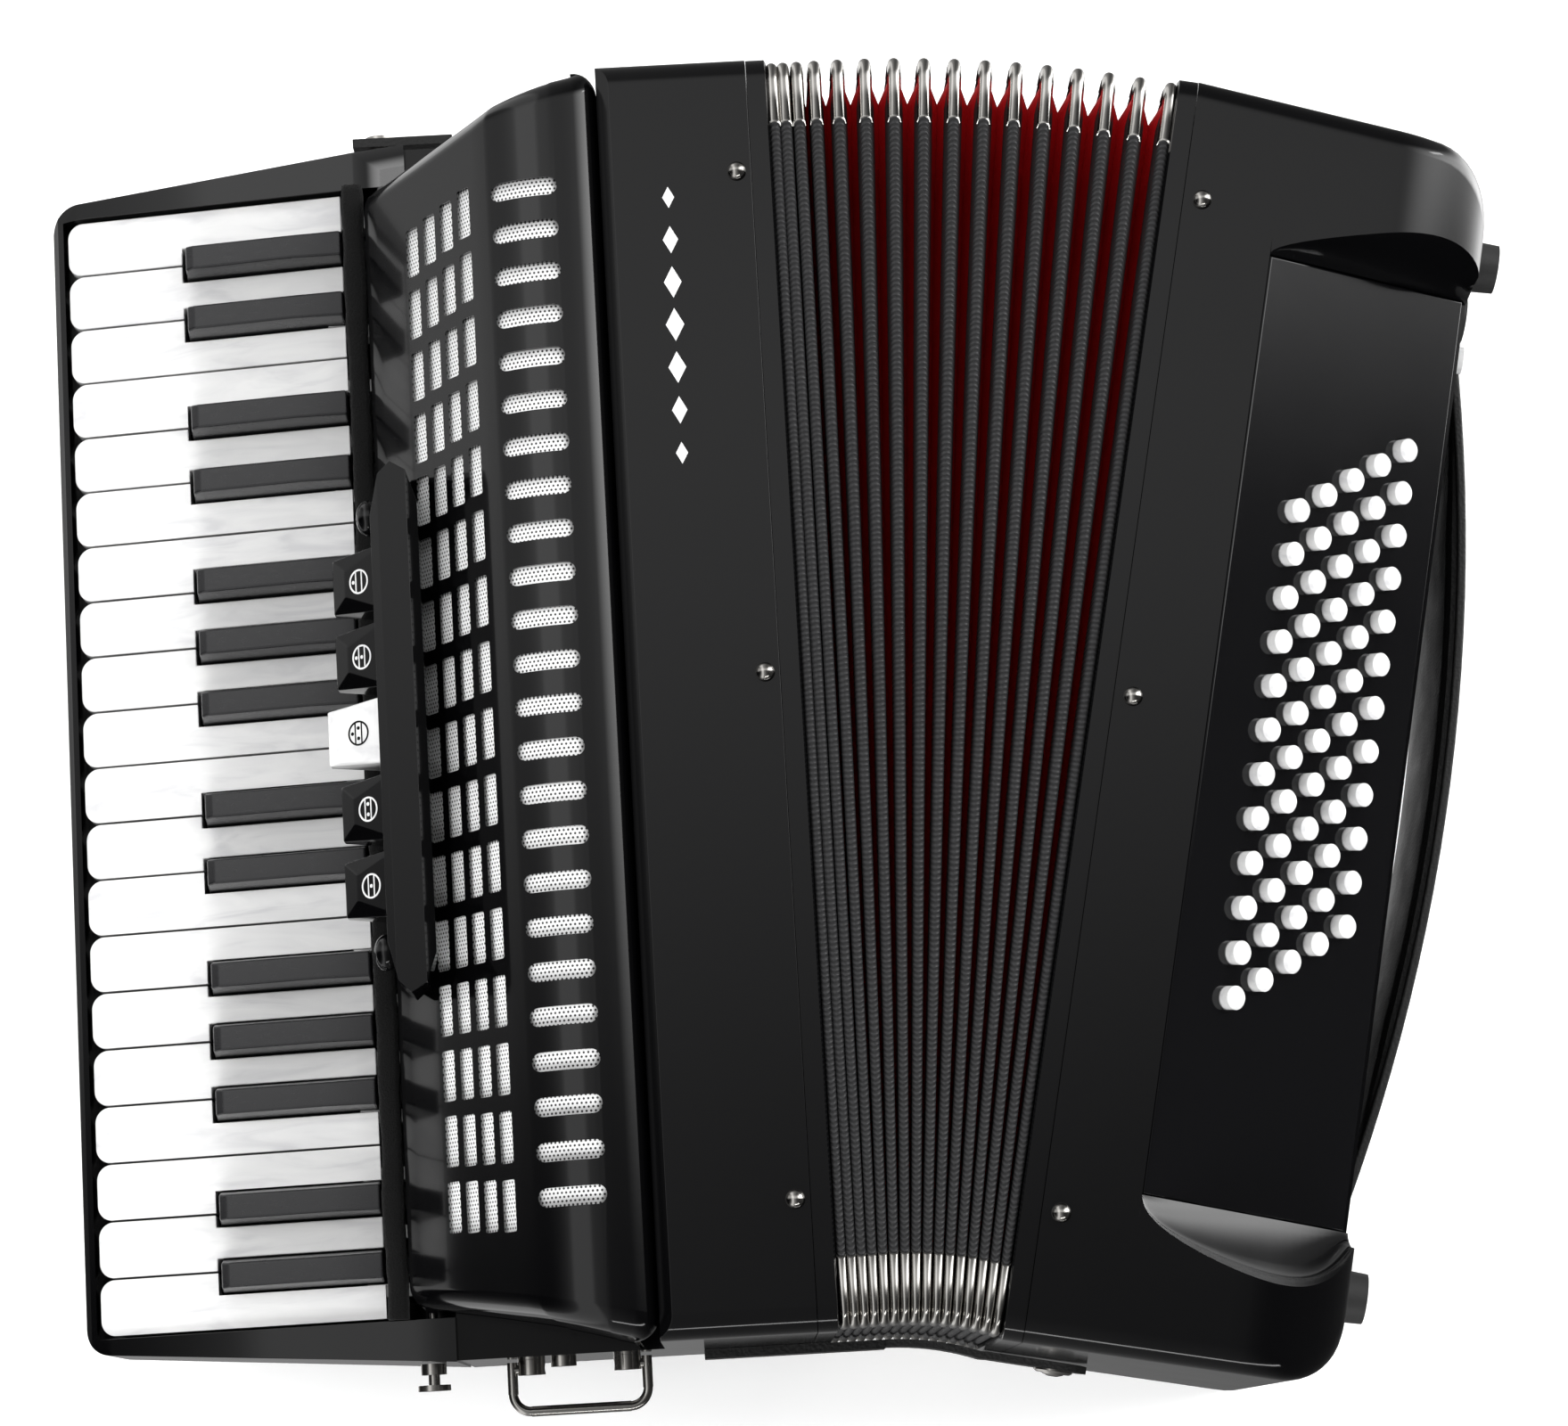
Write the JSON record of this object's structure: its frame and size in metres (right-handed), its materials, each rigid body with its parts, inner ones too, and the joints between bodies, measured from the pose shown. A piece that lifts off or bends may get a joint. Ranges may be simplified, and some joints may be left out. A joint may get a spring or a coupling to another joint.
{
  "type": "piano accordion",
  "caption": "Piano accordion with a hinged piano keyboard, register switches, bass buttons and a bellows that fans open between two lacquered casings.",
  "frame": {"origin": "middle of the treble casing's flat back", "axes": "+X from the keyboard to the bass end, +Y along the keyboard towards the low notes, +Z out of the front"},
  "size_m": [0.4932, 0.4409, 0.1882],
  "materials": {
    "lacquer": "polished black lacquer",
    "panel": "polished black",
    "white_key": "pearl white",
    "black_key": "satin black",
    "register_black": "polished black",
    "register_white": "polished white",
    "screen": "white perforated sheet",
    "felt": "matt black felt",
    "steel": "drawn",
    "wood": "planed spruce",
    "nickel": "polished nickel",
    "leather": "grained black",
    "bellows_cloth": "black leatherette with red gussets",
    "rubber": "matt",
    "bass_button": "polished white"
  },
  "bodies": {
    "treble_side": {"treble_casing": "lacquer", "treble_grille": "lacquer", "grille_screen": "screen", "keyboard_bed": "lacquer", "key_felt": "felt", "key_axle": "steel", "register_rail": "lacquer", "treble_reed_blocks": "wood", "treble_pins_and_studs": "nickel", "leather_straps": "leather", "bellows": "bellows_cloth"},
    "bass_side": {"bass_casing": "lacquer", "bass_button_panel": "panel", "bass_reed_blocks": "wood", "bass_pins": "nickel", "bass_feet": "rubber", "bass_strap": "leather"},
    "white_key_01": {"white_key_01": "white_key"},
    "white_key_02": {"white_key_02": "white_key"},
    "white_key_03": {"white_key_03": "white_key"},
    "white_key_04": {"white_key_04": "white_key"},
    "white_key_05": {"white_key_05": "white_key"},
    "white_key_06": {"white_key_06": "white_key"},
    "white_key_07": {"white_key_07": "white_key"},
    "white_key_08": {"white_key_08": "white_key"},
    "white_key_09": {"white_key_09": "white_key"},
    "white_key_10": {"white_key_10": "white_key"},
    "white_key_11": {"white_key_11": "white_key"},
    "white_key_12": {"white_key_12": "white_key"},
    "white_key_13": {"white_key_13": "white_key"},
    "white_key_14": {"white_key_14": "white_key"},
    "white_key_15": {"white_key_15": "white_key"},
    "white_key_16": {"white_key_16": "white_key"},
    "white_key_17": {"white_key_17": "white_key"},
    "white_key_18": {"white_key_18": "white_key"},
    "white_key_19": {"white_key_19": "white_key"},
    "white_key_20": {"white_key_20": "white_key"},
    "black_key_01": {"black_key_01": "black_key"},
    "black_key_02": {"black_key_02": "black_key"},
    "black_key_03": {"black_key_03": "black_key"},
    "black_key_04": {"black_key_04": "black_key"},
    "black_key_05": {"black_key_05": "black_key"},
    "black_key_06": {"black_key_06": "black_key"},
    "black_key_07": {"black_key_07": "black_key"},
    "black_key_08": {"black_key_08": "black_key"},
    "black_key_09": {"black_key_09": "black_key"},
    "black_key_10": {"black_key_10": "black_key"},
    "black_key_11": {"black_key_11": "black_key"},
    "black_key_12": {"black_key_12": "black_key"},
    "black_key_13": {"black_key_13": "black_key"},
    "black_key_14": {"black_key_14": "black_key"},
    "register_switch_1": {"register_switch_1": "register_black"},
    "register_switch_2": {"register_switch_2": "register_black"},
    "register_switch_3": {"register_switch_3": "register_white"},
    "register_switch_4": {"register_switch_4": "register_black"},
    "register_switch_5": {"register_switch_5": "register_black"},
    "bass_note_buttons": {"bass_note_buttons": "bass_button"},
    "chord_buttons": {"chord_buttons": "bass_button"},
    "air_button": {"air_button": "bass_button"},
    "strap_ring": {"strap_ring": "nickel"}
  },
  "joints": [
    {"name": "bellows_fan", "type": "hinge", "parent": "treble_side", "child": "bass_side", "pos_m": [0.0887, -0.2069, 0], "axis": [0, 0, -1], "range_deg": [-11.8, 24], "deforming": ["bellows"]},
    {"name": "white_key_01_press", "type": "hinge", "parent": "treble_side", "child": "white_key_01", "pos_m": [-0.066, 0, 0.092], "axis": [0, -1, 0], "range_deg": [0, 2.6], "stiffness_Nm_per_rad": 0.4, "springref_deg": -14.32},
    {"name": "white_key_02_press", "type": "hinge", "parent": "treble_side", "child": "white_key_02", "pos_m": [-0.066, 0, 0.092], "axis": [0, -1, 0], "range_deg": [0, 2.6], "stiffness_Nm_per_rad": 0.4, "springref_deg": -14.32},
    {"name": "white_key_03_press", "type": "hinge", "parent": "treble_side", "child": "white_key_03", "pos_m": [-0.066, 0, 0.092], "axis": [0, -1, 0], "range_deg": [0, 2.6], "stiffness_Nm_per_rad": 0.4, "springref_deg": -14.32},
    {"name": "white_key_04_press", "type": "hinge", "parent": "treble_side", "child": "white_key_04", "pos_m": [-0.066, 0, 0.092], "axis": [0, -1, 0], "range_deg": [0, 2.6], "stiffness_Nm_per_rad": 0.4, "springref_deg": -14.32},
    {"name": "white_key_05_press", "type": "hinge", "parent": "treble_side", "child": "white_key_05", "pos_m": [-0.066, 0, 0.092], "axis": [0, -1, 0], "range_deg": [0, 2.6], "stiffness_Nm_per_rad": 0.4, "springref_deg": -14.32},
    {"name": "white_key_06_press", "type": "hinge", "parent": "treble_side", "child": "white_key_06", "pos_m": [-0.066, 0, 0.092], "axis": [0, -1, 0], "range_deg": [0, 2.6], "stiffness_Nm_per_rad": 0.4, "springref_deg": -14.32},
    {"name": "white_key_07_press", "type": "hinge", "parent": "treble_side", "child": "white_key_07", "pos_m": [-0.066, 0, 0.092], "axis": [0, -1, 0], "range_deg": [0, 2.6], "stiffness_Nm_per_rad": 0.4, "springref_deg": -14.32},
    {"name": "white_key_08_press", "type": "hinge", "parent": "treble_side", "child": "white_key_08", "pos_m": [-0.066, 0, 0.092], "axis": [0, -1, 0], "range_deg": [0, 2.6], "stiffness_Nm_per_rad": 0.4, "springref_deg": -14.32},
    {"name": "white_key_09_press", "type": "hinge", "parent": "treble_side", "child": "white_key_09", "pos_m": [-0.066, 0, 0.092], "axis": [0, -1, 0], "range_deg": [0, 2.6], "stiffness_Nm_per_rad": 0.4, "springref_deg": -14.32},
    {"name": "white_key_10_press", "type": "hinge", "parent": "treble_side", "child": "white_key_10", "pos_m": [-0.066, 0, 0.092], "axis": [0, -1, 0], "range_deg": [0, 2.6], "stiffness_Nm_per_rad": 0.4, "springref_deg": -14.32},
    {"name": "white_key_11_press", "type": "hinge", "parent": "treble_side", "child": "white_key_11", "pos_m": [-0.066, 0, 0.092], "axis": [0, -1, 0], "range_deg": [0, 2.6], "stiffness_Nm_per_rad": 0.4, "springref_deg": -14.32},
    {"name": "white_key_12_press", "type": "hinge", "parent": "treble_side", "child": "white_key_12", "pos_m": [-0.066, 0, 0.092], "axis": [0, -1, 0], "range_deg": [0, 2.6], "stiffness_Nm_per_rad": 0.4, "springref_deg": -14.32},
    {"name": "white_key_13_press", "type": "hinge", "parent": "treble_side", "child": "white_key_13", "pos_m": [-0.066, 0, 0.092], "axis": [0, -1, 0], "range_deg": [0, 2.6], "stiffness_Nm_per_rad": 0.4, "springref_deg": -14.32},
    {"name": "white_key_14_press", "type": "hinge", "parent": "treble_side", "child": "white_key_14", "pos_m": [-0.066, 0, 0.092], "axis": [0, -1, 0], "range_deg": [0, 2.6], "stiffness_Nm_per_rad": 0.4, "springref_deg": -14.32},
    {"name": "white_key_15_press", "type": "hinge", "parent": "treble_side", "child": "white_key_15", "pos_m": [-0.066, 0, 0.092], "axis": [0, -1, 0], "range_deg": [0, 2.6], "stiffness_Nm_per_rad": 0.4, "springref_deg": -14.32},
    {"name": "white_key_16_press", "type": "hinge", "parent": "treble_side", "child": "white_key_16", "pos_m": [-0.066, 0, 0.092], "axis": [0, -1, 0], "range_deg": [0, 2.6], "stiffness_Nm_per_rad": 0.4, "springref_deg": -14.32},
    {"name": "white_key_17_press", "type": "hinge", "parent": "treble_side", "child": "white_key_17", "pos_m": [-0.066, 0, 0.092], "axis": [0, -1, 0], "range_deg": [0, 2.6], "stiffness_Nm_per_rad": 0.4, "springref_deg": -14.32},
    {"name": "white_key_18_press", "type": "hinge", "parent": "treble_side", "child": "white_key_18", "pos_m": [-0.066, 0, 0.092], "axis": [0, -1, 0], "range_deg": [0, 2.6], "stiffness_Nm_per_rad": 0.4, "springref_deg": -14.32},
    {"name": "white_key_19_press", "type": "hinge", "parent": "treble_side", "child": "white_key_19", "pos_m": [-0.066, 0, 0.092], "axis": [0, -1, 0], "range_deg": [0, 2.6], "stiffness_Nm_per_rad": 0.4, "springref_deg": -14.32},
    {"name": "white_key_20_press", "type": "hinge", "parent": "treble_side", "child": "white_key_20", "pos_m": [-0.066, 0, 0.092], "axis": [0, -1, 0], "range_deg": [0, 2.6], "stiffness_Nm_per_rad": 0.4, "springref_deg": -14.32},
    {"name": "black_key_01_press", "type": "hinge", "parent": "treble_side", "child": "black_key_01", "pos_m": [-0.066, 0, 0.092], "axis": [0, -1, 0], "range_deg": [0, 2.6], "stiffness_Nm_per_rad": 0.4, "springref_deg": -14.32},
    {"name": "black_key_02_press", "type": "hinge", "parent": "treble_side", "child": "black_key_02", "pos_m": [-0.066, 0, 0.092], "axis": [0, -1, 0], "range_deg": [0, 2.6], "stiffness_Nm_per_rad": 0.4, "springref_deg": -14.32},
    {"name": "black_key_03_press", "type": "hinge", "parent": "treble_side", "child": "black_key_03", "pos_m": [-0.066, 0, 0.092], "axis": [0, -1, 0], "range_deg": [0, 2.6], "stiffness_Nm_per_rad": 0.4, "springref_deg": -14.32},
    {"name": "black_key_04_press", "type": "hinge", "parent": "treble_side", "child": "black_key_04", "pos_m": [-0.066, 0, 0.092], "axis": [0, -1, 0], "range_deg": [0, 2.6], "stiffness_Nm_per_rad": 0.4, "springref_deg": -14.32},
    {"name": "black_key_05_press", "type": "hinge", "parent": "treble_side", "child": "black_key_05", "pos_m": [-0.066, 0, 0.092], "axis": [0, -1, 0], "range_deg": [0, 2.6], "stiffness_Nm_per_rad": 0.4, "springref_deg": -14.32},
    {"name": "black_key_06_press", "type": "hinge", "parent": "treble_side", "child": "black_key_06", "pos_m": [-0.066, 0, 0.092], "axis": [0, -1, 0], "range_deg": [0, 2.6], "stiffness_Nm_per_rad": 0.4, "springref_deg": -14.32},
    {"name": "black_key_07_press", "type": "hinge", "parent": "treble_side", "child": "black_key_07", "pos_m": [-0.066, 0, 0.092], "axis": [0, -1, 0], "range_deg": [0, 2.6], "stiffness_Nm_per_rad": 0.4, "springref_deg": -14.32},
    {"name": "black_key_08_press", "type": "hinge", "parent": "treble_side", "child": "black_key_08", "pos_m": [-0.066, 0, 0.092], "axis": [0, -1, 0], "range_deg": [0, 2.6], "stiffness_Nm_per_rad": 0.4, "springref_deg": -14.32},
    {"name": "black_key_09_press", "type": "hinge", "parent": "treble_side", "child": "black_key_09", "pos_m": [-0.066, 0, 0.092], "axis": [0, -1, 0], "range_deg": [0, 2.6], "stiffness_Nm_per_rad": 0.4, "springref_deg": -14.32},
    {"name": "black_key_10_press", "type": "hinge", "parent": "treble_side", "child": "black_key_10", "pos_m": [-0.066, 0, 0.092], "axis": [0, -1, 0], "range_deg": [0, 2.6], "stiffness_Nm_per_rad": 0.4, "springref_deg": -14.32},
    {"name": "black_key_11_press", "type": "hinge", "parent": "treble_side", "child": "black_key_11", "pos_m": [-0.066, 0, 0.092], "axis": [0, -1, 0], "range_deg": [0, 2.6], "stiffness_Nm_per_rad": 0.4, "springref_deg": -14.32},
    {"name": "black_key_12_press", "type": "hinge", "parent": "treble_side", "child": "black_key_12", "pos_m": [-0.066, 0, 0.092], "axis": [0, -1, 0], "range_deg": [0, 2.6], "stiffness_Nm_per_rad": 0.4, "springref_deg": -14.32},
    {"name": "black_key_13_press", "type": "hinge", "parent": "treble_side", "child": "black_key_13", "pos_m": [-0.066, 0, 0.092], "axis": [0, -1, 0], "range_deg": [0, 2.6], "stiffness_Nm_per_rad": 0.4, "springref_deg": -14.32},
    {"name": "black_key_14_press", "type": "hinge", "parent": "treble_side", "child": "black_key_14", "pos_m": [-0.066, 0, 0.092], "axis": [0, -1, 0], "range_deg": [0, 2.6], "stiffness_Nm_per_rad": 0.4, "springref_deg": -14.32},
    {"name": "register_switch_1_press", "type": "hinge", "parent": "treble_side", "child": "register_switch_1", "pos_m": [-0.067, 0, 0.139], "axis": [0, -1, 0], "range_deg": [0, 6], "stiffness_Nm_per_rad": 0.05, "springref_deg": -17.19},
    {"name": "register_switch_2_press", "type": "hinge", "parent": "treble_side", "child": "register_switch_2", "pos_m": [-0.067, 0, 0.139], "axis": [0, -1, 0], "range_deg": [0, 6], "stiffness_Nm_per_rad": 0.05, "springref_deg": -17.19},
    {"name": "register_switch_3_press", "type": "hinge", "parent": "treble_side", "child": "register_switch_3", "pos_m": [-0.067, 0, 0.139], "axis": [0, -1, 0], "range_deg": [0, 6], "stiffness_Nm_per_rad": 0.05, "springref_deg": -17.19},
    {"name": "register_switch_4_press", "type": "hinge", "parent": "treble_side", "child": "register_switch_4", "pos_m": [-0.067, 0, 0.139], "axis": [0, -1, 0], "range_deg": [0, 6], "stiffness_Nm_per_rad": 0.05, "springref_deg": -17.19},
    {"name": "register_switch_5_press", "type": "hinge", "parent": "treble_side", "child": "register_switch_5", "pos_m": [-0.067, 0, 0.139], "axis": [0, -1, 0], "range_deg": [0, 6], "stiffness_Nm_per_rad": 0.05, "springref_deg": -17.19},
    {"name": "bass_note_buttons_press", "type": "slide", "parent": "bass_side", "child": "bass_note_buttons", "axis": [-0.5837, 0.1219, -0.8027], "range_m": [0, 0.0035], "stiffness_N_per_m": 300, "springref_m": -0.01},
    {"name": "chord_buttons_press", "type": "slide", "parent": "bass_side", "child": "chord_buttons", "axis": [-0.5837, 0.1219, -0.8027], "range_m": [0, 0.0035], "stiffness_N_per_m": 300, "springref_m": -0.01},
    {"name": "air_button_press", "type": "slide", "parent": "bass_side", "child": "air_button", "axis": [-0.9789, 0.2045, 0], "range_m": [0, 0.004], "stiffness_N_per_m": 200, "springref_m": -0.005},
    {"name": "strap_ring_swing", "type": "hinge", "parent": "treble_side", "child": "strap_ring", "pos_m": [-0.02, -0.20755, 0.06], "axis": [1, 0, 0], "range_deg": [-80, 80]}
  ]
}
